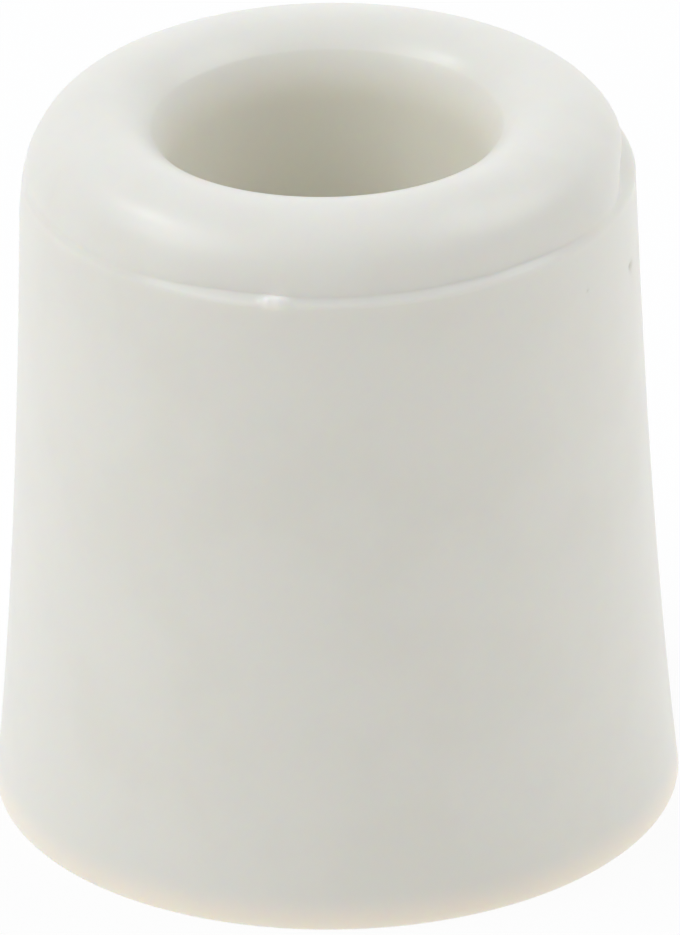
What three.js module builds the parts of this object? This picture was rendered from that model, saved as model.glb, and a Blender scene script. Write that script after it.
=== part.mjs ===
// Rubber door stop: one moulded body turned about +Z.
// Units are millimetres. The origin is the middle of the flat base, which stands on z = 0.
import * as THREE from 'three';

// Outer body
const height = 43;              // from the base to the crest of the rolled top
const baseRadius = 20;          // widest point, just above the base
const baseEdge = 0.15;          // rounding of the base's outer edge
const shoulderRadius = 17.75;   // outside of the body at its top edge
const straightSpread = 1.2;     // what an even taper adds to the radius by the base
const skirtPower = 2.5;         // how late the skirt sweeps out below that taper

// Rolled top, which stands on the shoulder
const rollHeight = 3.9;         // from the parting line to the crest
const rollWall = 0.2;           // upright band at the foot of the roll
const crestInset = 4.35;        // from the roll's outside to its crest
const ledgeWidth = 0.5;         // shoulder left outside the roll at the parting line
const shoulderEdge = 0.22;      // rounding of the shoulder's outer edge

// Lip of the mouth and well for the screw. A slope of 0 is level and 90 is upright.
const lipRadius = 3.8;          // rounding from the crest to the lip's edge
const lipSlope = 45;            // slope in degrees where the edge starts
const lipEdge = 1;              // rounding of the edge
const funnelSlope = 55;         // slope in degrees where the edge ends
const throatCurve = 4.8;        // rounding from the edge down to the throat
const wellDraft = 0.5;          // what the well narrows by from the throat to the seat
const seatThickness = 9;        // rubber between the seat and the base
const seatFillet = 0.8;         // rounding between the well's wall and the seat
const screwHoleRadius = 3.25;   // clearance for the fixing screw
const screwHoleEdge = 0.35;     // bevel at each end of the screw hole

// Fineness of the turned mesh
const turnSegments = 96;
const flareSteps = 10;
const rollSteps = 7;
const lipSteps = 5;
const edgeSteps = 2;
const throatSteps = 4;
const filletSteps = 3;

// Radii and heights that follow from the sizes above
const partingHeight = height - rollHeight;
const rollRadius = shoulderRadius - ledgeWidth;
const crestRadius = rollRadius - crestInset;

// Points on a quarter of an ellipse about (centreRadius, centreHeight). Angles are in quarter
// turns: 0 points outwards, 1 upwards, 2 to the axis and -1 downwards.
function ellipseArc(centreRadius, centreHeight, reach, rise, fromQuarter, toQuarter, steps) {
  const points = [];
  for (let step = 0; step <= steps; step += 1) {
    const quarter = fromQuarter + ((toQuarter - fromQuarter) * step) / steps;
    const angle = (quarter * Math.PI) / 2;
    points.push(new THREE.Vector2(
      centreRadius + reach * Math.cos(angle),
      centreHeight + rise * Math.sin(angle),
    ));
  }
  return points;
}

// Side of the body from the base's rounding up to the shoulder's: an even taper and a skirt.
function flare(bottomHeight, topHeight) {
  const skirtSpread = baseRadius - shoulderRadius - straightSpread;
  const points = [];
  for (let step = 1; step < flareSteps; step += 1) {
    const fall = 1 - step / flareSteps;
    points.push(new THREE.Vector2(
      shoulderRadius + straightSpread * fall + skirtSpread * fall ** skirtPower,
      topHeight - (topHeight - bottomHeight) * fall,
    ));
  }
  return points;
}

// Outside of the part, from the base's edge up to the crest.
function outerProfile() {
  const edge = Math.min(shoulderEdge, ledgeWidth / 2);
  return [
    ...ellipseArc(baseRadius - baseEdge, baseEdge, baseEdge, baseEdge, -1, 0, filletSteps),
    ...flare(baseEdge, partingHeight - edge),
    ...ellipseArc(shoulderRadius - edge, partingHeight - edge, edge, edge, 0, 1, filletSteps),
    new THREE.Vector2(rollRadius, partingHeight),
    ...ellipseArc(
      crestRadius, partingHeight + rollWall, crestInset, rollHeight - rollWall, 0, 1, rollSteps,
    ),
  ];
}

// Round piece of the lip that goes on from the last point and turns between two slopes in degrees.
function roundFall(last, radius, fromSlope, toSlope, steps) {
  const slope = (fromSlope * Math.PI) / 180;
  const centreRadius = last.x + radius * Math.sin(slope);
  const centreHeight = last.y - radius * Math.cos(slope);
  return ellipseArc(
    centreRadius, centreHeight, radius, radius, 1 + fromSlope / 90, 1 + toSlope / 90, steps,
  ).slice(1);
}

// Lip of the mouth, from the crest down to the throat, where it is upright.
function lipProfile() {
  const crest = new THREE.Vector2(crestRadius, height);
  const lip = roundFall(crest, lipRadius, 0, lipSlope, lipSteps);
  const edge = roundFall(lip.at(-1), lipEdge, lipSlope, funnelSlope, edgeSteps);
  const throat = roundFall(edge.at(-1), throatCurve, funnelSlope, 90, throatSteps);
  return [...lip, ...edge, ...throat];
}

// Inside of the part, from the crest through the lip and the well to the screw hole.
function innerProfile() {
  const lip = lipProfile();
  const seatRadius = lip.at(-1).x - wellDraft;
  return [
    ...lip,
    ...ellipseArc(
      seatRadius - seatFillet, seatThickness + seatFillet, seatFillet, seatFillet, 0, -1, filletSteps,
    ),
    new THREE.Vector2(screwHoleRadius + screwHoleEdge, seatThickness),
    new THREE.Vector2(screwHoleRadius, seatThickness - screwHoleEdge),
    new THREE.Vector2(screwHoleRadius, screwHoleEdge),
    new THREE.Vector2(screwHoleRadius + screwHoleEdge, 0),
  ];
}

// The closed section turned about three.js's Y axis, then stood up along +Z.
function turnedBody() {
  const section = [...outerProfile(), ...innerProfile()];
  section.push(section[0].clone());
  return new THREE.LatheGeometry(section, turnSegments).rotateX(Math.PI / 2);
}

// Off-white moulded rubber with a dull sheen.
function rubber() {
  return new THREE.MeshStandardMaterial({ color: 0xe8e6dd, roughness: 0.55, metalness: 0 });
}

const doorStop = new THREE.Mesh(turnedBody(), rubber());
doorStop.name = 'door_stop';

const part = new THREE.Group();
part.add(doorStop);

export default part;
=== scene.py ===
"""Looks of a moulded rubber door stop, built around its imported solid. Lengths are in metres."""

import logging
import math
from dataclasses import dataclass, field
from enum import Enum
from typing import Any

import bpy
import numpy as np
from mathutils import Matrix, Vector


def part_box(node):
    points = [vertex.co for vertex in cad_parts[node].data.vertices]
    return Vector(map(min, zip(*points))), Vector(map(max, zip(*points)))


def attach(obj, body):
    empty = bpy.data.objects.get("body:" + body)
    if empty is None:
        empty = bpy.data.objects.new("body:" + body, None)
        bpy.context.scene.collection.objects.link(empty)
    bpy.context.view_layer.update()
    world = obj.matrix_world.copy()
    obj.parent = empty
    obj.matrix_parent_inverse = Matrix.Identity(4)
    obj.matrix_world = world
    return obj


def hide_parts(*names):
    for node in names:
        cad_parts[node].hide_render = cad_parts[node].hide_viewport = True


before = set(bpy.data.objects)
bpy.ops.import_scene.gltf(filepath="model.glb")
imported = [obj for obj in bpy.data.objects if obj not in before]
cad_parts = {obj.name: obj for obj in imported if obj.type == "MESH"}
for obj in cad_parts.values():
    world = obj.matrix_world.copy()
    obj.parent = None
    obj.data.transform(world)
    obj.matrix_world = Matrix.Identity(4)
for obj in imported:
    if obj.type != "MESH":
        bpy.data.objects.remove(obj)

MM = 0.001
WHITE = (1.0, 1.0, 1.0)
UPRIGHT = 90.0
NODE = "door_stop"
SLOT = "off_white_rubber"

# Samples along a stretch from which the places of its rings are worked out
GRADING_SAMPLES = 4001

# Places of the colour sockets of a mix node, where the names of sockets repeat
MIX_FIRST_COLOUR = 6
MIX_SECOND_COLOUR = 7
MIX_COLOUR_RESULT = 2

Colour = tuple[float, float, float]

log = logging.getLogger("door_stop")


class Zone(Enum):
    """Stretches of the turned section, in the order in which it runs."""

    BASE_EDGE = 0
    SIDE = 1
    LEDGE = 2
    ROLL = 3
    LIP = 4
    WELL = 5
    SEAT = 6
    SCREW_HOLE = 7
    UNDERSIDE = 8


class MarkTone(Enum):
    """Colours of the small marks: a painted highlight on the nib, and a darker colour in the nick and the
    speck. Each value names the mesh attribute that holds it.
    """

    # Painted highlight: the nib and its tail are coloured lighter, for the light that they catch.
    NIB_HIGHLIGHT = "pale_mark"
    # Darker colour in the nick and the speck.
    DIRT = "dirt_mark"


class Pairing(Enum):
    """Ways to work one value out of two in a material."""

    PRODUCT = "MULTIPLY"
    GREATER = "MAXIMUM"


@dataclass(frozen=True)
class Focus:
    """A place on a stretch where the mesh is finer.

    Attributes:
        centre: Where it is, in the stretch's own measure.
        spread: How far the finer mesh reaches, in the same measure.
        gain: How much finer the mesh is there. 1 is twice as fine.
    """

    centre: float
    spread: float
    gain: float


def graded(start: float, stop: float, count: int, focuses: tuple[Focus, ...] = ()) -> np.ndarray:
    """Spaces values along a stretch, closer together at each focus.

    Args:
        start: First value.
        stop: Value at which the stretch ends. It is left out.
        count: Number of values.
        focuses: Places where the values lie closer.

    Returns:
        The values, in order.
    """
    fine = np.linspace(start, stop, GRADING_SAMPLES)
    density = np.ones_like(fine)
    for focus in focuses:
        density += focus.gain * np.exp(-(((fine - focus.centre) / focus.spread) ** 2))
    steps = np.diff(fine) * (density[1:] + density[:-1]) / 2
    run = np.concatenate([[0.0], np.cumsum(steps)])
    wanted = np.linspace(0.0, run[-1], count + 1)[:-1]
    if run[-1] < 0:
        return np.interp(-wanted, -run, fine)
    return np.interp(wanted, run, fine)


@dataclass(frozen=True)
class Fineness:
    """How fine the mesh is.

    Attributes:
        segments: Segments round the axis.
        azimuth_focuses: Azimuths, in degrees, where the segments lie closer: at the nib, the nick and the
            speck, and at the swells beside the nick.
        side_focuses: Heights where the rings of the side lie closer: at the nick, the speck, the base and
            the shoulder.
        roll_focus: Where the rings of the roll lie closer, in quarter turns: at its foot.
        base_edge: Rings on the rounding of the base's edge.
        side: Rings on the side.
        ledge: Rings on the ledge.
        roll: Rings on the roll, up to the crest.
        lip: Rings on the lip, down to its edge.
        lip_edge: Rings on the lip's edge.
        throat: Rings from the lip's edge down to the throat.
        well: Rings on the well's wall.
        seat_fillet: Rings between the well's wall and the seat.
        seat: Rings on the seat.
        bevel: Rings on the bevel at each end of the screw hole.
        screw_hole: Rings between the two bevels.
        underside: Rings on the underside.
    """

    segments: int = 520
    azimuth_focuses: tuple[Focus, ...] = (
        Focus(-100.4, 1.8, 4.0),
        Focus(-14.4, 1.6, 3.0),
        Focus(-34.3, 0.6, 2.0),
        Focus(-22.0, 12.0, 0.5),
    )
    side_focuses: tuple[Focus, ...] = (
        Focus(34.61 * MM, 0.35 * MM, 9.0),
        Focus(35.82 * MM, 0.2 * MM, 7.0),
        Focus(1.0 * MM, 1.2 * MM, 1.5),
        Focus(38.6 * MM, 0.5 * MM, 2.0),
    )
    roll_focus: Focus = Focus(0.0, 0.12, 1.5)
    base_edge: int = 6
    side: int = 52
    ledge: int = 24
    roll: int = 28
    lip: int = 14
    lip_edge: int = 5
    throat: int = 14
    well: int = 14
    seat_fillet: int = 5
    seat: int = 5
    bevel: int = 2
    screw_hole: int = 4
    underside: int = 6

    def azimuths(self) -> np.ndarray:
        """Gives the azimuth of each segment, in radians."""
        return np.radians(graded(-180.0, 180.0, self.segments, self.azimuth_focuses))


@dataclass(frozen=True)
class Rings:
    """Rings of the turned mesh, in order.

    Attributes:
        radius: Radius of each ring.
        height: Height of each ring.
        zone: Number of the zone in which each ring lies.
    """

    radius: np.ndarray
    height: np.ndarray
    zone: np.ndarray

    def within(self, *zones: Zone) -> np.ndarray:
        """Tells which rings lie in the given zones."""
        return np.isin(self.zone, [zone.value for zone in zones])

    def up_to(self, last: Zone) -> np.ndarray:
        """Tells which rings lie in the given zone or in one before it."""
        return self.zone <= last.value


@dataclass
class RingStack:
    """Collects the rings of the turned mesh, stretch after stretch.

    Attributes:
        stretches: The rings of each stretch so far.
    """

    stretches: list[Rings] = field(default_factory=list)

    def add(self, zone: Zone, radius: np.ndarray | float, height: np.ndarray | float) -> None:
        """Adds the rings of one stretch.

        Args:
            zone: The zone in which it lies.
            radius: Radius of each ring, or of all.
            height: Height of each ring, or of all.
        """
        each_radius, each_height = np.broadcast_arrays(radius, height)
        each_zone = np.full(each_radius.shape, zone.value)
        self.stretches.append(Rings(each_radius.astype(float), each_height.astype(float), each_zone))

    def add_arc(
        self, zone: Zone, centre: tuple[float, float], reach: float, rise: float, quarters: np.ndarray
    ) -> None:
        """Adds rings on a quarter of an ellipse.

        Args:
            zone: The zone in which they lie.
            centre: Radius and height of the ellipse's centre.
            reach: Half of its width.
            rise: Half of its height.
            quarters: Angles in quarter turns: 0 points outwards, 1 up, 2 to the axis and -1 down.
        """
        angle = quarters * (math.pi / 2)
        self.add(zone, centre[0] + reach * np.cos(angle), centre[1] + rise * np.sin(angle))

    def add_fall(
        self, start: tuple[float, float], radius: float, slopes: tuple[float, float], count: int
    ) -> tuple[float, float]:
        """Adds the rings of a round fall of the lip.

        Args:
            start: Radius and height where it starts.
            radius: Its rounding.
            slopes: Its slopes at the start and at the end, in degrees: 0 is level and 90 is upright.
            count: Number of rings.

        Returns:
            Radius and height where it ends.
        """
        steep, steeper = math.radians(slopes[0]), math.radians(slopes[1])
        centre = (start[0] + radius * math.sin(steep), start[1] - radius * math.cos(steep))
        quarters = graded(1 + slopes[0] / UPRIGHT, 1 + slopes[1] / UPRIGHT, count)
        self.add_arc(Zone.LIP, centre, radius, radius, quarters)
        inwards = radius * (math.sin(steeper) - math.sin(steep))
        return start[0] - inwards, start[1] - radius * (math.cos(steep) - math.cos(steeper))

    def joined(self) -> Rings:
        """Gives the rings of all stretches, in order.

        Returns:
            The rings.
        """
        return Rings(
            np.concatenate([stretch.radius for stretch in self.stretches]),
            np.concatenate([stretch.height for stretch in self.stretches]),
            np.concatenate([stretch.zone for stretch in self.stretches]),
        )


@dataclass(frozen=True)
class Section:
    """The part's section, which is turned about +Z.

    Its sizes are those of the solid, except that the ledge is one soft step here.

    Attributes:
        height: From the base to the crest of the rolled top.
        base_radius: Widest radius, just above the base.
        base_edge: Rounding of the base's outer edge.
        shoulder_radius: Outside of the body at its top edge.
        straight_spread: What an even taper adds to the radius by the base.
        skirt_power: How late the skirt sweeps out below that taper.
        roll_height: From the parting line to the crest.
        roll_wall: Height of the roll's foot over the parting line.
        crest_inset: From the roll's outside to its crest.
        ledge_width: How far the ledge steps in.
        ledge_drop: How far below the parting line the ledge starts.
        ledge_hold: How long the ledge holds the shoulder's radius before it turns in.
        lip_radius: Rounding from the crest to the lip's edge.
        lip_slope: Slope in degrees where the lip's edge starts.
        lip_edge: Rounding of the lip's edge.
        funnel_slope: Slope in degrees where the lip's edge ends.
        throat_curve: Rounding from the lip's edge down to the throat.
        well_draft: What the well narrows by from the throat to the seat.
        seat_thickness: Rubber between the seat and the base.
        seat_fillet: Rounding between the well's wall and the seat.
        screw_hole_radius: Radius of the screw hole.
        screw_hole_edge: Bevel at each end of the screw hole.
    """

    height: float
    base_radius: float
    base_edge: float = 0.15 * MM
    shoulder_radius: float = 17.75 * MM
    straight_spread: float = 1.2 * MM
    skirt_power: float = 2.5
    roll_height: float = 3.9 * MM
    roll_wall: float = 0.2 * MM
    crest_inset: float = 4.35 * MM
    ledge_width: float = 0.5 * MM
    ledge_drop: float = 0.55 * MM
    ledge_hold: float = 1.4
    lip_radius: float = 3.8 * MM
    lip_slope: float = 45.0
    lip_edge: float = 1.0 * MM
    funnel_slope: float = 55.0
    throat_curve: float = 4.8 * MM
    well_draft: float = 0.5 * MM
    seat_thickness: float = 9.0 * MM
    seat_fillet: float = 0.8 * MM
    screw_hole_radius: float = 3.25 * MM
    screw_hole_edge: float = 0.35 * MM

    @property
    def parting_height(self) -> float:
        """Height of the parting line, where the mould's halves met."""
        return self.height - self.roll_height

    @property
    def side_top(self) -> float:
        """Height at which the side starts to round over into the ledge."""
        return self.parting_height - self.ledge_drop

    @property
    def flat_radius(self) -> float:
        """Radius of the underside's flat face."""
        return self.base_radius - self.base_edge

    @property
    def crest_radius(self) -> float:
        """Radius of the roll's highest line."""
        return self.shoulder_radius - self.ledge_width - self.crest_inset

    @property
    def hole_mouth(self) -> float:
        """Radius of the screw hole at each end, with its bevel."""
        return self.screw_hole_radius + self.screw_hole_edge

    def side_radius(self, height: np.ndarray) -> np.ndarray:
        """Gives the side's radius: an even taper with a skirt that sweeps out late.

        Args:
            height: Heights on the side.

        Returns:
            The radius at each height.
        """
        top = self.side_top
        fall = np.clip((top - height) / (top - self.base_edge), 0.0, 1.0)
        skirt_spread = self.base_radius - self.shoulder_radius - self.straight_spread
        return self.shoulder_radius + self.straight_spread * fall + skirt_spread * fall**self.skirt_power

    def lay_side(self, stack: RingStack, fineness: Fineness) -> None:
        """Lays the base's edge and the side.

        Args:
            stack: Takes the rings.
            fineness: How many rings there are, and where they lie closer.
        """
        corner = graded(-1, 0, fineness.base_edge)
        centre = (self.flat_radius, self.base_edge)
        stack.add_arc(Zone.BASE_EDGE, centre, self.base_edge, self.base_edge, corner)
        side = graded(self.base_edge, self.side_top, fineness.side, fineness.side_focuses)
        stack.add(Zone.SIDE, self.side_radius(side), side)

    def lay_ledge(self, stack: RingStack, fineness: Fineness) -> None:
        """Lays the ledge: one soft step from the side in to the roll's foot.

        Args:
            stack: Takes the rings.
            fineness: How many rings there are.
        """
        climb = graded(0.0, 1.0, fineness.ledge)
        held = climb**self.ledge_hold
        step = held * held * (3 - 2 * held)
        rise = self.ledge_drop + self.roll_wall
        stack.add(Zone.LEDGE, self.shoulder_radius - self.ledge_width * step, self.side_top + rise * climb)

    def lay_roll(self, stack: RingStack, fineness: Fineness) -> None:
        """Lays the outside of the roll, from its foot up to the crest.

        Args:
            stack: Takes the rings.
            fineness: How many rings there are, and where they lie closer.
        """
        centre = (self.crest_radius, self.parting_height + self.roll_wall)
        rise = self.roll_height - self.roll_wall
        quarters = graded(0, 1, fineness.roll, (fineness.roll_focus,))
        stack.add_arc(Zone.ROLL, centre, self.crest_inset, rise, quarters)

    def lay_lip(self, stack: RingStack, fineness: Fineness) -> tuple[float, float]:
        """Lays the lip: three round falls, from the crest down to the throat.

        Args:
            stack: Takes the rings.
            fineness: How many rings there are.

        Returns:
            Radius and height of the throat.
        """
        crest = (self.crest_radius, self.height)
        edge = stack.add_fall(crest, self.lip_radius, (0.0, self.lip_slope), fineness.lip)
        edge_slopes = (self.lip_slope, self.funnel_slope)
        funnel = stack.add_fall(edge, self.lip_edge, edge_slopes, fineness.lip_edge)
        return stack.add_fall(funnel, self.throat_curve, (self.funnel_slope, UPRIGHT), fineness.throat)

    def lay_well(self, stack: RingStack, fineness: Fineness, throat: tuple[float, float]) -> None:
        """Lays the well, which narrows from the throat down, and the seat at its bottom.

        Args:
            stack: Takes the rings.
            fineness: How many rings there are.
            throat: Radius and height of the throat.
        """
        floor = self.seat_thickness + self.seat_fillet
        seat_radius = throat[0] - self.well_draft
        well = graded(throat[1], floor, fineness.well)
        stack.add(Zone.WELL, np.interp(well, [floor, throat[1]], [seat_radius, throat[0]]), well)
        centre = (seat_radius - self.seat_fillet, floor)
        corner = graded(0, -1, fineness.seat_fillet)
        stack.add_arc(Zone.SEAT, centre, self.seat_fillet, self.seat_fillet, corner)
        stack.add(Zone.SEAT, graded(centre[0], self.hole_mouth, fineness.seat), self.seat_thickness)

    def lay_screw_hole(self, stack: RingStack, fineness: Fineness) -> None:
        """Lays the screw hole, with a bevel at each end.

        Args:
            stack: Takes the rings.
            fineness: How many rings there are.
        """
        upper, lower = self.seat_thickness - self.screw_hole_edge, self.screw_hole_edge
        narrowing = graded(self.hole_mouth, self.screw_hole_radius, fineness.bevel)
        widening = graded(self.screw_hole_radius, self.hole_mouth, fineness.bevel)
        stack.add(Zone.SCREW_HOLE, narrowing, graded(self.seat_thickness, upper, fineness.bevel))
        stack.add(Zone.SCREW_HOLE, self.screw_hole_radius, graded(upper, lower, fineness.screw_hole))
        stack.add(Zone.SCREW_HOLE, widening, graded(lower, 0, fineness.bevel))

    def rings(self, fineness: Fineness) -> Rings:
        """Lays the rings of the whole section, from the base's edge round to the underside.

        Args:
            fineness: How many rings each stretch has, and where they lie closer.

        Returns:
            The rings, in order.
        """
        stack = RingStack()
        self.lay_side(stack, fineness)
        self.lay_ledge(stack, fineness)
        self.lay_roll(stack, fineness)
        throat = self.lay_lip(stack, fineness)
        self.lay_well(stack, fineness, throat)
        self.lay_screw_hole(stack, fineness)
        stack.add(Zone.UNDERSIDE, graded(self.hole_mouth, self.flat_radius, fineness.underside), 0.0)
        return stack.joined()


@dataclass(frozen=True)
class Waviness:
    """A slow unevenness round the part, made of a few harmonics.

    Attributes:
        seed: Seed of its phases.
        lowest: Fewest waves in a turn.
        highest: Most waves in a turn.
        depth: Its usual height.
        weakest: Least share that a harmonic has. The most is 1.
    """

    seed: int
    lowest: int
    highest: int
    depth: float
    weakest: float = 0.4

    def at(self, azimuth: np.ndarray) -> np.ndarray:
        """Gives the height of the unevenness.

        Args:
            azimuth: Azimuths in radians.

        Returns:
            The height at each azimuth.
        """
        draw = np.random.default_rng(self.seed)
        total = np.zeros_like(azimuth)
        waves = range(self.lowest, self.highest + 1)
        for count in waves:
            share = draw.uniform(self.weakest, 1.0)
            phase = draw.uniform(0, math.tau)
            total += share * np.sin(count * azimuth + phase)
        return self.depth * total / math.sqrt(len(waves) / 2)


@dataclass(frozen=True)
class Swell:
    """A smooth swell round a stretch of the part.

    Attributes:
        azimuth: Where it is, in degrees.
        spread: How far it reaches to each side, in degrees.
        reach: How far it stands out. It is negative for a hollow.
    """

    azimuth: float
    spread: float
    reach: float

    def at(self, azimuth: np.ndarray) -> np.ndarray:
        """Gives how far the swell stands out at each azimuth, in radians."""
        turn = (azimuth - math.radians(self.azimuth) + math.pi) % math.tau - math.pi
        return self.reach * np.exp(-((turn / math.radians(self.spread)) ** 2))


@dataclass(frozen=True)
class Wear:
    """A stretch where the shoulder is worn back, and the roll's flank above it a little less.

    Attributes:
        azimuth: Where it is, in degrees.
        spread: How far it reaches to each side, in degrees.
        depth: How far the shoulder is worn back.
        side_reach: How far the wear goes down the side.
        side_power: How fast the wear fades down the side. 1 is even.
        flank_share: Part of the depth that the roll's foot has.
        flank_reach: How far the wear goes up the roll.
    """

    azimuth: float = 180.0
    spread: float = 48.0
    depth: float = 0.20 * MM
    side_reach: float = 2.3 * MM
    side_power: float = 1.3
    flank_share: float = 0.6
    flank_reach: float = 3.0 * MM

    def at(self, azimuth: np.ndarray) -> np.ndarray:
        """Gives how far the shoulder is worn back at each azimuth, in radians."""
        return Swell(self.azimuth, self.spread, self.depth).at(azimuth)

    def share_at(self, above: np.ndarray, from_edge: np.ndarray) -> np.ndarray:
        """Gives the part of the depth that each ring has.

        Args:
            above: Height of each ring above the parting line.
            from_edge: 0 for a ring on the side and 1 for one on the roll, with the ledge between.

        Returns:
            The share for each ring.
        """
        side = np.clip(1 + above / self.side_reach, 0.0, 1.0) ** self.side_power
        flank = self.flank_share * np.clip(1 - above / self.flank_reach, 0.0, 1.0)
        return side * (1 - from_edge) + flank * from_edge


@dataclass(frozen=True)
class Mark:
    """A small mark in the surface: a nib, a nick or a speck.

    Attributes:
        azimuth: Where it is, in degrees.
        radius: Its distance from the axis.
        height: Its height above the base.
        length: Half of its length, which lies level.
        width: Half of its width.
        lift: How far it stands out. It is negative for a dent.
        tone: How the mark differs in colour.
        strength: How strong that colour is in its middle.
    """

    azimuth: float
    radius: float
    height: float
    length: float
    width: float
    lift: float
    tone: MarkTone
    strength: float

    @property
    def centre(self) -> np.ndarray:
        """Its middle."""
        turn = math.radians(self.azimuth)
        return np.array([self.radius * math.cos(turn), self.radius * math.sin(turn), self.height])

    def share_at(self, points: np.ndarray, normals: np.ndarray) -> np.ndarray:
        """Gives how much of the mark each point of the surface has.

        Args:
            points: Points on the surface, one to a row.
            normals: Unit normals at the points.

        Returns:
            The share of each point: 1 in the mark's middle and 0 well away from it.
        """
        offset = points - self.centre
        near = np.einsum("ij,ij->i", offset, offset)
        normal = normals[int(np.argmin(near))]
        turn = math.radians(self.azimuth)
        level = np.array([-math.sin(turn), math.cos(turn), 0.0])
        level -= normal * float(level @ normal)
        level /= np.linalg.norm(level)
        along = offset @ level
        across = offset @ np.cross(normal, level)
        facing = np.clip(normals @ normal, 0.0, 1.0)
        return facing * np.exp(-((along / self.length) ** 2) - (across / self.width) ** 2)


@dataclass(frozen=True)
class MouldedDetail:
    """What the mould and the wear left on the part.

    Attributes:
        roll_shift: How far the roll's half of the mould lay aside, along +X.
        foot_reach: How far the swells of the roll's foot reach up the roll.
        swells: Where the roll's foot stands further out over the ledge, or less far.
        wear: Where the shoulder is worn back.
        rim: Where the shoulder's rim stands up.
        rim_reach: How far the standing rim reaches up and down.
        foot_waves: Unevenness of the roll's foot.
        body_waves: Unevenness of the side.
        wave_reach: Height over which the side's unevenness grows from nothing at the base.
        nib: The torn nib on the parting line.
        nib_tail: The nib's short tail.
        nick: The nick in the side.
        speck: The speck beside it.
    """

    roll_shift: float = 0.02 * MM
    foot_reach: float = 1.9 * MM
    swells: tuple[Swell, ...] = (
        Swell(-24.0, 9.0, 0.30 * MM),
        Swell(-36.0, 7.0, 0.16 * MM),
        Swell(0.0, 13.0, -0.62 * MM),
        Swell(180.0, 45.0, 0.30 * MM),
        Swell(-90.0, 9.0, 0.13 * MM),
        Swell(-130.0, 11.0, 0.18 * MM),
        Swell(-108.0, 7.0, -0.16 * MM),
        Swell(70.0, 14.0, 0.12 * MM),
        Swell(128.0, 10.0, -0.15 * MM),
    )
    wear: Wear = Wear()
    rim: Swell = Swell(14.0, 20.0, 0.20 * MM)
    rim_reach: float = 0.9 * MM
    foot_waves: Waviness = Waviness(seed=5, lowest=9, highest=31, depth=0.025 * MM)
    body_waves: Waviness = Waviness(seed=23, lowest=2, highest=6, depth=0.02 * MM)
    wave_reach: float = 6.0 * MM
    # The nib and its tail carry a painted highlight in their colour.
    nib: Mark = Mark(-99.6, 17.50 * MM, 39.02 * MM, 0.60 * MM, 0.42 * MM, 0.43 * MM, MarkTone.NIB_HIGHLIGHT, 1.0)
    nib_tail: Mark = Mark(
        -101.6, 17.54 * MM, 38.98 * MM, 0.32 * MM, 0.28 * MM, 0.26 * MM, MarkTone.NIB_HIGHLIGHT, 0.9
    )
    nick: Mark = Mark(-14.4, 17.89 * MM, 34.61 * MM, 0.42 * MM, 0.26 * MM, -0.12 * MM, MarkTone.DIRT, 0.42)
    speck: Mark = Mark(-34.3, 17.85 * MM, 35.82 * MM, 0.12 * MM, 0.09 * MM, -0.04 * MM, MarkTone.DIRT, 0.25)

    @property
    def marks(self) -> tuple[Mark, ...]:
        """All small marks."""
        return (self.nib, self.nib_tail, self.nick, self.speck)

    def foot_offset(self, azimuth: np.ndarray) -> np.ndarray:
        """Gives how far the roll's foot stands out from its turned radius.

        Args:
            azimuth: Azimuths in radians.

        Returns:
            The offset at each azimuth.
        """
        total = self.foot_waves.at(azimuth)
        for swell in self.swells:
            total = total + swell.at(azimuth)
        return total


@dataclass(frozen=True)
class Grain:
    """A noise in the surface.

    Attributes:
        scale: How fine it is, in waves to a metre.
        detail: How many finer noises lie over it.
        roughness: How strong the finer ones are.
    """

    scale: float
    detail: float
    roughness: float


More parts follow.
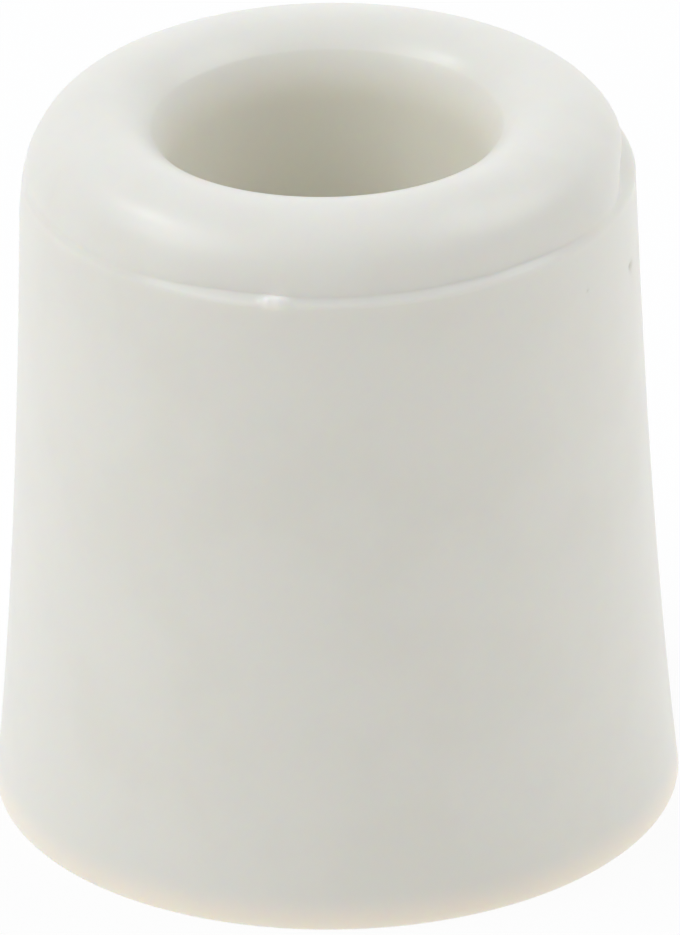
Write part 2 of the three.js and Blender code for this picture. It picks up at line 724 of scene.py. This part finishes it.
class NodeSheet:
    """Short ways to lay shader nodes."""

    def __init__(self, owner: bpy.types.Material | bpy.types.World) -> None:
        """Takes over the node tree of a material or a world.

        Args:
            owner: The material or world.
        """
        owner.use_nodes = True
        self.owner = owner
        self.tree = owner.node_tree
        self.tree.nodes.clear()

    @classmethod
    def new_material(cls, name: str) -> "NodeSheet":
        """Makes a material and gives its sheet."""
        return cls(bpy.data.materials.new(name))

    def node(self, kind: str, **values: Any) -> bpy.types.Node:
        """Adds a node.

        Args:
            kind: Its type.
            **values: A value or another node's output for each named input.

        Returns:
            The node.
        """
        made = self.tree.nodes.new(kind)
        for name, value in values.items():
            self.put(made.inputs[name], value)
        return made

    def put(self, socket: bpy.types.NodeSocket, value: Any) -> None:
        """Links an output to a socket, or sets the socket's value.

        Args:
            socket: The socket.
            value: Another node's output, or a number, vector or colour.
        """
        if isinstance(value, bpy.types.NodeSocket):
            self.tree.links.new(value, socket)
        elif socket.type == "RGBA":
            socket.default_value = (*value, 1.0)
        else:
            socket.default_value = value

    def place(self, system: str = "Object") -> bpy.types.NodeSocket:
        """Gives the place of each point, in the named system of coordinates."""
        return self.node("ShaderNodeTexCoord").outputs[system]

    def axes(self, place: bpy.types.NodeSocket) -> dict[str, bpy.types.NodeSocket]:
        """Gives a place's coordinates under the names X, Y and Z."""
        return dict(self.node("ShaderNodeSeparateXYZ", Vector=place).outputs.items())

    def combine(
        self, pairing: Pairing, first: bpy.types.NodeSocket, second: bpy.types.NodeSocket
    ) -> bpy.types.NodeSocket:
        """Works one value out of two.

        Args:
            pairing: How they are paired.
            first: First value.
            second: Second value.

        Returns:
            The result.
        """
        made = self.tree.nodes.new("ShaderNodeMath")
        made.operation = pairing.value
        self.put(made.inputs[0], first)
        self.put(made.inputs[1], second)
        return made.outputs[0]

    def distance_from_axis(self, place: bpy.types.NodeSocket) -> bpy.types.NodeSocket:
        """Gives how far a place lies from the part's axis.

        Args:
            place: The place, in the part's own frame.

        Returns:
            The distance.
        """
        along = self.axes(place)
        flat = self.node("ShaderNodeCombineXYZ", X=along["X"], Y=along["Y"])
        made = self.tree.nodes.new("ShaderNodeVectorMath")
        made.operation = "LENGTH"
        self.put(made.inputs[0], flat.outputs["Vector"])
        return made.outputs["Value"]

    def attribute(self, name: str) -> bpy.types.NodeSocket:
        """Reads a mesh attribute.

        Args:
            name: Its name.

        Returns:
            Its value.
        """
        made = self.tree.nodes.new("ShaderNodeAttribute")
        made.attribute_name = name
        return made.outputs["Fac"]

    def noise(self, place: bpy.types.NodeSocket, grain: Grain) -> bpy.types.NodeSocket:
        """Adds a noise.

        Args:
            place: Place of each point.
            grain: How fine and how rough the noise is.

        Returns:
            Its value.
        """
        made = self.node("ShaderNodeTexNoise", Vector=place, Scale=grain.scale, Detail=grain.detail)
        self.put(made.inputs["Roughness"], grain.roughness)
        return made.outputs["Fac"]

    def ramp(
        self, value: bpy.types.NodeSocket, low: float, high: float, top: float = 1.0, bottom: float = 0.0
    ) -> bpy.types.NodeSocket:
        """Adds a smooth step.

        Args:
            value: What is mapped.
            low: The value that gives bottom.
            high: The value that gives bottom plus top.
            top: How far the result rises.
            bottom: Where the result starts.

        Returns:
            The result.
        """
        made = self.tree.nodes.new("ShaderNodeMapRange")
        made.interpolation_type = "SMOOTHSTEP"
        self.put(made.inputs["Value"], value)
        falling = high < low
        ends = (high, low) if falling else (low, high)
        results = (bottom + top, bottom) if falling else (bottom, bottom + top)
        made.inputs["From Min"].default_value, made.inputs["From Max"].default_value = ends
        made.inputs["To Min"].default_value, made.inputs["To Max"].default_value = results
        return made.outputs["Result"]

    def mix_colour(self, first: Any, second: Any, share: bpy.types.NodeSocket) -> bpy.types.NodeSocket:
        """Adds a mix of two colours.

        Args:
            first: The colour where the share is 0.
            second: The colour where the share is 1.
            share: How much of the second colour there is.

        Returns:
            The mixed colour.
        """
        made = self.tree.nodes.new("ShaderNodeMix")
        made.data_type = "RGBA"
        self.put(made.inputs["Factor"], share)
        self.put(made.inputs[MIX_FIRST_COLOUR], first)
        self.put(made.inputs[MIX_SECOND_COLOUR], second)
        return made.outputs[MIX_COLOUR_RESULT]

    def shader(self, kind: str, **values: Any) -> bpy.types.NodeSocket:
        """Adds a shader's node and gives its output."""
        return self.node(kind, **values).outputs[0]

    def add_shaders(
        self, first: bpy.types.NodeSocket, second: bpy.types.NodeSocket
    ) -> bpy.types.NodeSocket:
        """Adds two shaders up.

        Args:
            first: First shader.
            second: Second shader.

        Returns:
            Both at once.
        """
        made = self.node("ShaderNodeAddShader")
        self.put(made.inputs[0], first)
        self.put(made.inputs[1], second)
        return made.outputs[0]

    def mix_shaders(
        self, first: bpy.types.NodeSocket, second: bpy.types.NodeSocket, share: Any
    ) -> bpy.types.NodeSocket:
        """Adds a mix of two shaders.

        Args:
            first: The shader where the share is 0.
            second: The shader where the share is 1.
            share: How much of the second shader there is.

        Returns:
            The mix.
        """
        made = self.node("ShaderNodeMixShader", Fac=share)
        self.put(made.inputs[1], first)
        self.put(made.inputs[2], second)
        return made.outputs[0]

    def finish(self, shader: bpy.types.NodeSocket) -> None:
        """Links the shader to the output.

        Args:
            shader: The finished shader.
        """
        for_world = isinstance(self.owner, bpy.types.World)
        self.node("ShaderNodeOutputWorld" if for_world else "ShaderNodeOutputMaterial", Surface=shader)


@dataclass(frozen=True)
class Patches:
    """Soft patches in the surface.

    Attributes:
        grain: The noise that they follow.
        low: Value of the noise at which a patch starts.
        high: Value of the noise at which it is full.
        strength: How strong a full patch is.
    """

    grain: Grain
    low: float
    high: float
    strength: float = 1.0

    def lay(
        self, tree: NodeSheet, place: bpy.types.NodeSocket, bottom: float = 0.0
    ) -> bpy.types.NodeSocket:
        """Lays the patches' nodes.

        Args:
            tree: Takes the nodes.
            place: Place of each point.
            bottom: The value between the patches.

        Returns:
            The value, which rises by the strength in the patches.
        """
        return tree.ramp(tree.noise(place, self.grain), self.low, self.high, self.strength, bottom)


@dataclass(frozen=True)
class Relief:
    """A fine relief in the surface.

    Attributes:
        grain: The noise that it follows.
        depth: How deep it is.
        strength: How much of it shows.
    """

    grain: Grain
    depth: float
    strength: float

    def lay(
        self, tree: NodeSheet, place: bpy.types.NodeSocket, under: bpy.types.NodeSocket | None = None
    ) -> bpy.types.NodeSocket:
        """Lays the relief's nodes.

        Args:
            tree: Takes the nodes.
            place: Place of each point.
            under: The normal of a relief that lies under this one.

        Returns:
            The normal.
        """
        height = tree.noise(place, self.grain)
        made = tree.node("ShaderNodeBump", Height=height, Distance=self.depth, Strength=self.strength)
        if under is not None:
            tree.put(made.inputs["Normal"], under)
        return made.outputs["Normal"]


@dataclass(frozen=True)
class RubberFinish:
    """Off-white moulded rubber: a dull sheen, a faint grain and slight clouding.

    Attributes:
        colour: Main colour.
        clouded: Colour of the slightly darker clouds and of the grain.
        painted_well_glow: Colour inside the well: painted light, brighter and warmer than the rubber, for
            light that comes through the rubber's walls into the well.
        painted_base_glow: Colour that it tends to along the base: painted light, warmer and brighter, for
            light from the floor that comes through the rubber's edge.
        pale: Colour of the torn nib: a painted highlight, lighter than the rubber, for the light that the
            nib catches.
        dark_colour: Darker colour of the nick and the speck.
        base_glow_height: Height up to which the painted glow along the base reaches.
        base_glow_strength: How strong the painted glow is at the base.
        clouds: Where it is clouded.
        specks: A fine grain in the colour.
        roughness: Least roughness.
        sheen: Patches where it is rougher.
        peel: The surface's slight waves.
        pores: The surface's fine grain.
        specular: How much it reflects.
        softness: How much of the light goes into the rubber.
        depth: How deep light goes in, for red, green and blue, as shares of depth_scale.
        depth_scale: The depth itself.
    """

    colour: Colour = (0.820, 0.813, 0.762)
    clouded: Colour = (0.803, 0.795, 0.740)
    painted_well_glow: Colour = (0.885, 0.863, 0.773)
    painted_base_glow: Colour = (0.950, 0.880, 0.785)
    pale: Colour = (0.930, 0.920, 0.880)
    dark_colour: Colour = (0.36, 0.34, 0.27)
    base_glow_height: float = 2.3 * MM
    base_glow_strength: float = 0.72
    clouds: Patches = Patches(Grain(150.0, 4.0, 0.55), 0.40, 0.68)
    specks: Patches = Patches(Grain(2600.0, 3.0, 0.60), 0.55, 0.85, 0.5)
    roughness: float = 0.30
    sheen: Patches = Patches(Grain(420.0, 3.0, 0.60), 0.25, 0.75, 0.07)
    peel: Relief = Relief(Grain(560.0, 2.0, 0.50), 0.035 * MM, 0.35)
    pores: Relief = Relief(Grain(5200.0, 4.0, 0.65), 0.004 * MM, 0.45)
    specular: float = 0.5
    softness: float = 0.8
    depth: tuple[float, float, float] = (1.0, 0.72, 0.42)
    depth_scale: float = 1.1 * MM

    def surface_colour(
        self, tree: NodeSheet, place: bpy.types.NodeSocket, section: Section
    ) -> bpy.types.NodeSocket:
        """Lays the nodes of the colour.

        Args:
            tree: Takes the nodes.
            place: Place of each point, in the part's own frame.
            section: The part's section, which says where the well is.

        Returns:
            The colour.
        """
        radius, height = tree.distance_from_axis(place), tree.axes(place)["Z"]
        inside = tree.ramp(radius, section.crest_radius, section.crest_radius - section.lip_radius)
        below_crest = tree.ramp(height, section.height, section.height - section.lip_radius)
        layers = (
            (self.clouded, self.clouds.lay(tree, place)),
            (self.clouded, self.specks.lay(tree, place)),
            # Painted light: the well is coloured brighter and warmer, for light that comes through the
            # rubber's walls.
            (self.painted_well_glow, tree.combine(Pairing.PRODUCT, inside, below_crest)),
            # Painted light: a warm, bright glow along the base, for light from the floor through the
            # rubber's edge.
            (self.painted_base_glow, tree.ramp(height, self.base_glow_height, 0.0, self.base_glow_strength)),
            # Painted highlight on the nib: a lighter colour for the light that it catches.
            (self.pale, tree.attribute(MarkTone.NIB_HIGHLIGHT.value)),
            # The nick and the speck are coloured darker.
            (self.dark_colour, tree.attribute(MarkTone.DIRT.value)),
        )
        colour = self.colour
        for layer_colour, share in layers:
            colour = tree.mix_colour(colour, layer_colour, share)
        return colour

    def material(self, section: Section) -> bpy.types.Material:
        """Makes the material.

        Args:
            section: The part's section, which says where the well is.

        Returns:
            The material.
        """
        tree = NodeSheet.new_material(SLOT)
        place = tree.place()
        rubber = tree.node(
            "ShaderNodeBsdfPrincipled",
            **{
                "Base Color": self.surface_colour(tree, place, section),
                "Roughness": self.sheen.lay(tree, place, self.roughness),
                "Normal": self.pores.lay(tree, place, under=self.peel.lay(tree, place)),
                "Subsurface Weight": self.softness,
                "Subsurface Radius": self.depth,
                "Subsurface Scale": self.depth_scale,
                "Specular IOR Level": self.specular,
            },
        )
        rubber.subsurface_method = "RANDOM_WALK"
        tree.finish(rubber.outputs["BSDF"])
        return tree.owner


@dataclass(frozen=True)
class DoorStopBody:
    """The moulded body: a fine turned mesh with what the mould and the wear left on it.

    Attributes:
        section: The section that is turned.
        detail: What the mould and the wear left.
        finish: The rubber.
        fineness: How fine the mesh is.
    """

    section: Section
    detail: MouldedDetail
    finish: RubberFinish
    fineness: Fineness

    def ledge_share(self, rings: Rings) -> np.ndarray:
        """Gives how far across the ledge each ring lies.

        Args:
            rings: The rings.

        Returns:
            0 at the shoulder's edge, 1 at the roll's foot, and 0 for a ring that isn't on the ledge.
        """
        section = self.section
        from_edge = np.clip((section.shoulder_radius - rings.radius) / section.ledge_width, 0.0, 1.0)
        return np.where(rings.within(Zone.LEDGE), from_edge, 0.0)

    def foot_share(self, rings: Rings) -> np.ndarray:
        """Gives how much of the foot's offset each ring takes.

        Args:
            rings: The rings.

        Returns:
            The share of each ring: all at the foot, and none at the shoulder and high on the roll.
        """
        climb = np.clip((rings.height - self.section.parting_height) / self.detail.foot_reach, 0.0, 1.0)
        up_the_roll = np.where(rings.within(Zone.ROLL), 0.5 + 0.5 * np.cos(math.pi * climb), 0.0)
        return self.ledge_share(rings) + up_the_roll

    def shift_share(self, rings: Rings) -> np.ndarray:
        """Gives how much of the roll's sideways shift each ring takes.

        Args:
            rings: The rings.

        Returns:
            The share of each ring: all on the roll and the lip, fading over the ledge and the well.
        """
        on_roll = np.where(rings.within(Zone.ROLL, Zone.LIP), 1.0, 0.0)
        mouth = self.section.height - self.section.lip_radius
        down = np.interp(rings.height, [self.section.seat_thickness, mouth], [0.0, 1.0])
        return self.ledge_share(rings) + on_roll + np.where(rings.within(Zone.WELL), down, 0.0)

    def wear_share(self, rings: Rings) -> np.ndarray:
        """Gives how much of the wear each ring takes.

        Args:
            rings: The rings.

        Returns:
            The share of each ring, which is nothing from the lip on inwards.
        """
        from_edge = self.ledge_share(rings) + np.where(rings.within(Zone.ROLL), 1.0, 0.0)
        share = self.detail.wear.share_at(rings.height - self.section.parting_height, from_edge)
        return np.where(rings.up_to(Zone.ROLL), share, 0.0)

    def wave_share(self, rings: Rings) -> np.ndarray:
        """Gives how much of the side's unevenness each ring takes.

        Args:
            rings: The rings.

        Returns:
            The share of each ring: all on the side, fading down to the base and over the ledge.
        """
        share = np.where(rings.up_to(Zone.LEDGE), 1 - self.ledge_share(rings), 0.0)
        return share * np.clip((rings.height - self.section.base_edge) / self.detail.wave_reach, 0.0, 1.0)

    def rim_share(self, rings: Rings) -> np.ndarray:
        """Gives how much of the rim's rise each ring takes: all at the parting line, less elsewhere."""
        above = (rings.height - self.section.parting_height) / self.detail.rim_reach
        return np.where(rings.up_to(Zone.ROLL), np.exp(-(above**2)), 0.0)

    def turned(self, rings: Rings) -> np.ndarray:
        """Turns the rings about the axis, each with its share of what the mould and the wear left.

        Args:
            rings: The rings.

        Returns:
            The points, by ring and segment.
        """
        detail = self.detail
        azimuth = self.fineness.azimuths()
        radius = rings.radius[:, None] + np.outer(self.foot_share(rings), detail.foot_offset(azimuth))
        radius += np.outer(self.shift_share(rings), detail.roll_shift * np.cos(azimuth))
        radius -= np.outer(self.wear_share(rings), detail.wear.at(azimuth))
        radius -= np.outer(self.wave_share(rings), np.abs(detail.body_waves.at(azimuth)))
        height = rings.height[:, None] + np.outer(self.rim_share(rings), detail.rim.at(azimuth))
        return np.stack([radius * np.cos(azimuth), radius * np.sin(azimuth), height], axis=-1)

    @staticmethod
    def normals(points: np.ndarray) -> np.ndarray:
        """Works out unit normals that face out.

        Args:
            points: Points by ring and segment.

        Returns:
            The normals, by ring and segment.
        """
        along = np.roll(points, -1, axis=0) - np.roll(points, 1, axis=0)
        around = np.roll(points, -1, axis=1) - np.roll(points, 1, axis=1)
        normal = np.cross(around, along)
        return normal / np.linalg.norm(normal, axis=-1, keepdims=True)

    def marked(self, turned: np.ndarray) -> tuple[np.ndarray, dict[MarkTone, np.ndarray]]:
        """Raises or sinks the small marks, and works out where their colours lie.

        Args:
            turned: Points of the turned body, by ring and segment.

        Returns:
            The points with the marks, one to a row, and the share of each tone at each point.
        """
        points, normals = turned.reshape(-1, 3), self.normals(turned).reshape(-1, 3)
        lift = np.zeros(len(points))
        tones = {tone: np.zeros(len(points)) for tone in MarkTone}
        for mark in self.detail.marks:
            share = mark.share_at(points, normals)
            lift += mark.lift * share
            tones[mark.tone] = np.maximum(tones[mark.tone], mark.strength * share)
        return points + normals * lift[:, None], tones

    def mesh(self, points: np.ndarray) -> bpy.types.Mesh:
        """Makes the closed mesh: each ring joins the next, and the last joins the first.

        Args:
            points: The points, ring after ring, one to a row.

        Returns:
            The mesh.
        """
        segments = self.fineness.segments
        rings = len(points) // segments
        ring, segment = np.meshgrid(np.arange(rings), np.arange(segments), indexing="ij")
        next_ring, next_segment = (ring + 1) % rings, (segment + 1) % segments
        corners = [
            ring * segments + segment,
            ring * segments + next_segment,
            next_ring * segments + next_segment,
            next_ring * segments + segment,
        ]
        faces = np.stack([corner.ravel() for corner in corners], axis=1)
        mesh = bpy.data.meshes.new("moulded_body")
        mesh.vertices.add(len(points))
        mesh.vertices.foreach_set("co", points.ravel())
        mesh.loops.add(faces.size)
        mesh.loops.foreach_set("vertex_index", faces.ravel())
        mesh.polygons.add(len(faces))
        mesh.polygons.foreach_set("loop_start", np.arange(0, faces.size, len(corners)))
        mesh.polygons.foreach_set("use_smooth", np.ones(len(faces), bool))
        mesh.update(calc_edges=True)
        mesh.validate()
        return mesh

    def build(self) -> bpy.types.Object:
        """Builds the body, dresses it and lets it stand for the solid.

        Returns:
            The body.
        """
        points, tones = self.marked(self.turned(self.section.rings(self.fineness)))
        mesh = self.mesh(points)
        for tone, share in tones.items():
            layer = mesh.attributes.new(tone.value, "FLOAT", "POINT")
            layer.data.foreach_set("value", share.astype(np.float32))
        mesh.materials.append(self.finish.material(self.section))
        body = bpy.data.objects.new("moulded_body", mesh)
        bpy.context.scene.collection.objects.link(body)
        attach(body, "root")
        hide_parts(NODE)
        return body


@dataclass(frozen=True)
class StudioLight:
    """One soft lamp that faces the part.

    Attributes:
        name: The lamp's name.
        azimuth: Where it stands, in degrees, counted from +X to +Y.
        elevation: How high it stands, in degrees.
        power: Its power in watts.
        width: Width of the lamp.
        height: Height of the lamp.
        distance: How far it stands from the part.
        colour: Its colour.
        reflected: Whether the part reflects it as a highlight.
    """

    name: str
    azimuth: float
    elevation: float
    power: float
    width: float = 0.36
    height: float = 0.36
    distance: float = 0.6
    colour: Colour = (0.978, 1.0, 1.03)
    reflected: bool = True

    def place(self, aim: Vector) -> bpy.types.Object:
        """Makes the lamp and turns it to face aim.

        Args:
            aim: The point that it faces.

        Returns:
            The lamp.
        """
        lamp = bpy.data.lights.new(self.name, "AREA")
        lamp.shape = "RECTANGLE"
        lamp.size, lamp.size_y = self.width, self.height
        lamp.energy = self.power
        lamp.color = self.colour
        turn, lift = math.radians(self.azimuth), math.radians(self.elevation)
        away = Vector((math.cos(turn) * math.cos(lift), math.sin(turn) * math.cos(lift), math.sin(lift)))
        holder = bpy.data.objects.new(self.name, lamp)
        bpy.context.scene.collection.objects.link(holder)
        holder.visible_glossy = self.reflected
        holder.location = aim + away * self.distance
        holder.rotation_mode = "QUATERNION"
        holder.rotation_quaternion = away.to_track_quat("Z", "Y")
        return holder


@dataclass(frozen=True)
class PhotoCamera:
    """The camera of the photograph: far off, with a long lens, looking down and slightly rolled.

    Attributes:
        distance: From the point that it looks at.
        elevation: How steeply it looks down, in degrees.
        roll: How far it is rolled, in degrees.
        focal_pixels: Focal length, in pixels of the picture.
        picture_height: Height of the picture in pixels.
        sensor: Length of the sensor's longer side, in millimetres.
        nearest: Distance from which it sees things.
        furthest: Distance up to which it sees things.
        aim: The point that it looks at.
    """

    distance: float = 837.9 * MM
    elevation: float = 26.82
    roll: float = 0.972
    focal_pixels: float = 14412.0
    picture_height: float = 935.0
    sensor: float = 36.0
    nearest: float = 0.05
    furthest: float = 20.0
    aim: tuple[float, float, float] = (0.434 * MM, 0.0, 19.725 * MM)

    def place(self) -> bpy.types.Object:
        """Makes the camera and gives it to the scene.

        Returns:
            The camera.
        """
        data = bpy.data.cameras.new("photo_camera")
        data.sensor_width = self.sensor
        data.lens = self.focal_pixels * self.sensor / self.picture_height
        data.clip_start, data.clip_end = self.nearest, self.furthest
        holder = bpy.data.objects.new("photo_camera", data)
        bpy.context.scene.collection.objects.link(holder)
        lift = math.radians(self.elevation)
        back = Vector((0.0, -math.cos(lift), math.sin(lift)))
        turned = back.to_track_quat("Z", "Y").to_matrix().to_4x4()
        rolled = turned @ Matrix.Rotation(math.radians(-self.roll), 4, "Z")
        holder.matrix_world = Matrix.Translation(Vector(self.aim) + back * self.distance) @ rolled
        bpy.context.scene.camera = holder
        return holder


@dataclass(frozen=True)
class Studio:
    """A pale tent of light with a brighter back, and a pale floor that keeps the shadow.

    Attributes:
        tent_colour: Colour of the tent's light.
        tent_level: How bright the tent is.
        back_level: What the tent's back has on top.
        floor_colour: Colour of the floor, where it gives the lamps' light back.
        floor_glow: Colour of the tent's light that the floor gives back.
        floor_glow_level: How much of it there is on the left.
        right_glow_level: How much more of it there is on the right.
        glow_reach: Half of the width over which the glow rises from left to right.
        floor_shown: How white the floor is where it is seen. The rest shows the shadow.
        floor_size: Length of the floor's sides.
        floor_gap: Gap between the floor and the base.
        lights: The lamps.
    """

    tent_colour: Colour = (0.988, 1.0, 1.02)
    tent_level: float = 0.49
    back_level: float = 0.29
    floor_colour: Colour = (0.30, 0.30, 0.30)
    floor_glow: Colour = (1.0, 0.975, 0.925)
    floor_glow_level: float = 0.62
    right_glow_level: float = 0.06
    glow_reach: float = 60.0 * MM
    floor_shown: float = 0.88
    floor_size: float = 8.0
    floor_gap: float = 0.02 * MM
    lights: tuple[StudioLight, ...] = (
        StudioLight("key_lamp", 163.8, 51.2, 0.30, width=0.04, height=0.04),
        StudioLight("left_softbox", 194.0, 46.0, 1.00),
        StudioLight("right_softbox", 12.0, 52.0, 0.78),
        StudioLight("rear_softbox", 58.0, 8.0, 0.30, width=0.30, height=0.15, reflected=False),
    )

    @staticmethod
    def seen_directly(tree: NodeSheet) -> bpy.types.NodeSocket:
        """Gives 1 where a surface is seen by the camera, in a reflection or through glass.

        Args:
            tree: Takes the nodes.

        Returns:
            1 there and 0 elsewhere.
        """
        path = tree.node("ShaderNodeLightPath")
        seen = tree.combine(Pairing.GREATER, path.outputs["Is Camera Ray"], path.outputs["Is Glossy Ray"])
        return tree.combine(Pairing.GREATER, seen, path.outputs["Is Transmission Ray"])

    def hang_tent(self) -> None:
        """Makes the world: white where it is seen, and a tent with a brighter back where it lights."""
        world = bpy.data.worlds.new("light_tent")
        bpy.context.scene.world = world
        tree = NodeSheet(world)
        towards_back = tree.axes(tree.place("Generated"))["Y"]
        level = tree.ramp(towards_back, 0.0, 1.0, self.back_level, self.tent_level)
        tent = tree.shader("ShaderNodeBackground", Color=self.tent_colour, Strength=level)
        shown = tree.shader("ShaderNodeBackground", Color=WHITE, Strength=1.0)
        tree.finish(tree.mix_shaders(tent, shown, self.seen_directly(tree)))

    def floor_material(self) -> bpy.types.Material:
        """Makes the floor's material: near white where it is seen, and warm where it gives light back.

        Returns:
            The material.
        """
        tree = NodeSheet.new_material("studio_floor")
        to_the_right = tree.axes(tree.place())["X"]
        reach, rise = self.glow_reach, self.right_glow_level
        level = tree.ramp(to_the_right, -reach, reach, rise, self.floor_glow_level)
        paper = tree.shader("ShaderNodeBsdfDiffuse", Color=self.floor_colour)
        glow = tree.shader("ShaderNodeEmission", Color=self.floor_glow, Strength=level)
        white = tree.shader("ShaderNodeBsdfDiffuse", Color=WHITE)
        bright = tree.shader("ShaderNodeEmission", Color=WHITE, Strength=1.0)
        shown = tree.mix_shaders(white, bright, self.floor_shown)
        tree.finish(tree.mix_shaders(tree.add_shaders(paper, glow), shown, self.seen_directly(tree)))
        return tree.owner

    def lay_floor(self) -> bpy.types.Object:
        """Makes the floor.

        Returns:
            The floor.
        """
        half = self.floor_size / 2
        corners = [(-half, -half), (half, -half), (half, half), (-half, half)]
        mesh = bpy.data.meshes.new("studio_floor")
        mesh.from_pydata([(x, y, -self.floor_gap) for x, y in corners], [], [(0, 1, 2, 3)])
        mesh.materials.append(self.floor_material())
        floor = bpy.data.objects.new("studio_floor", mesh)
        bpy.context.scene.collection.objects.link(floor)
        return floor

    def build(self, aim: Vector) -> None:
        """Builds the tent, the floor and the lamps.

        Args:
            aim: The point that the lamps face.
        """
        self.hang_tent()
        log.info("stage %s", self.lay_floor().name)
        for light in self.lights:
            log.info("lamp %s", light.place(aim).name)


def main() -> None:
    """Builds the camera, the part and the studio, and reports each piece."""
    logging.basicConfig(level=logging.INFO, format="%(message)s")
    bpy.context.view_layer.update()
    low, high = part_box(NODE)
    bpy.context.scene.view_settings.view_transform = "Standard"
    log.info("camera %s", PhotoCamera().place().name)
    section = Section(height=high.z - low.z, base_radius=(high.x - low.x) / 2)
    body = DoorStopBody(section, MouldedDetail(), RubberFinish(), Fineness()).build()
    log.info("piece %s: %d faces", body.name, len(body.data.polygons))
    Studio().build(aim=Vector((0.0, 0.0, high.z / 2)))


if __name__ == "__main__":
    main()
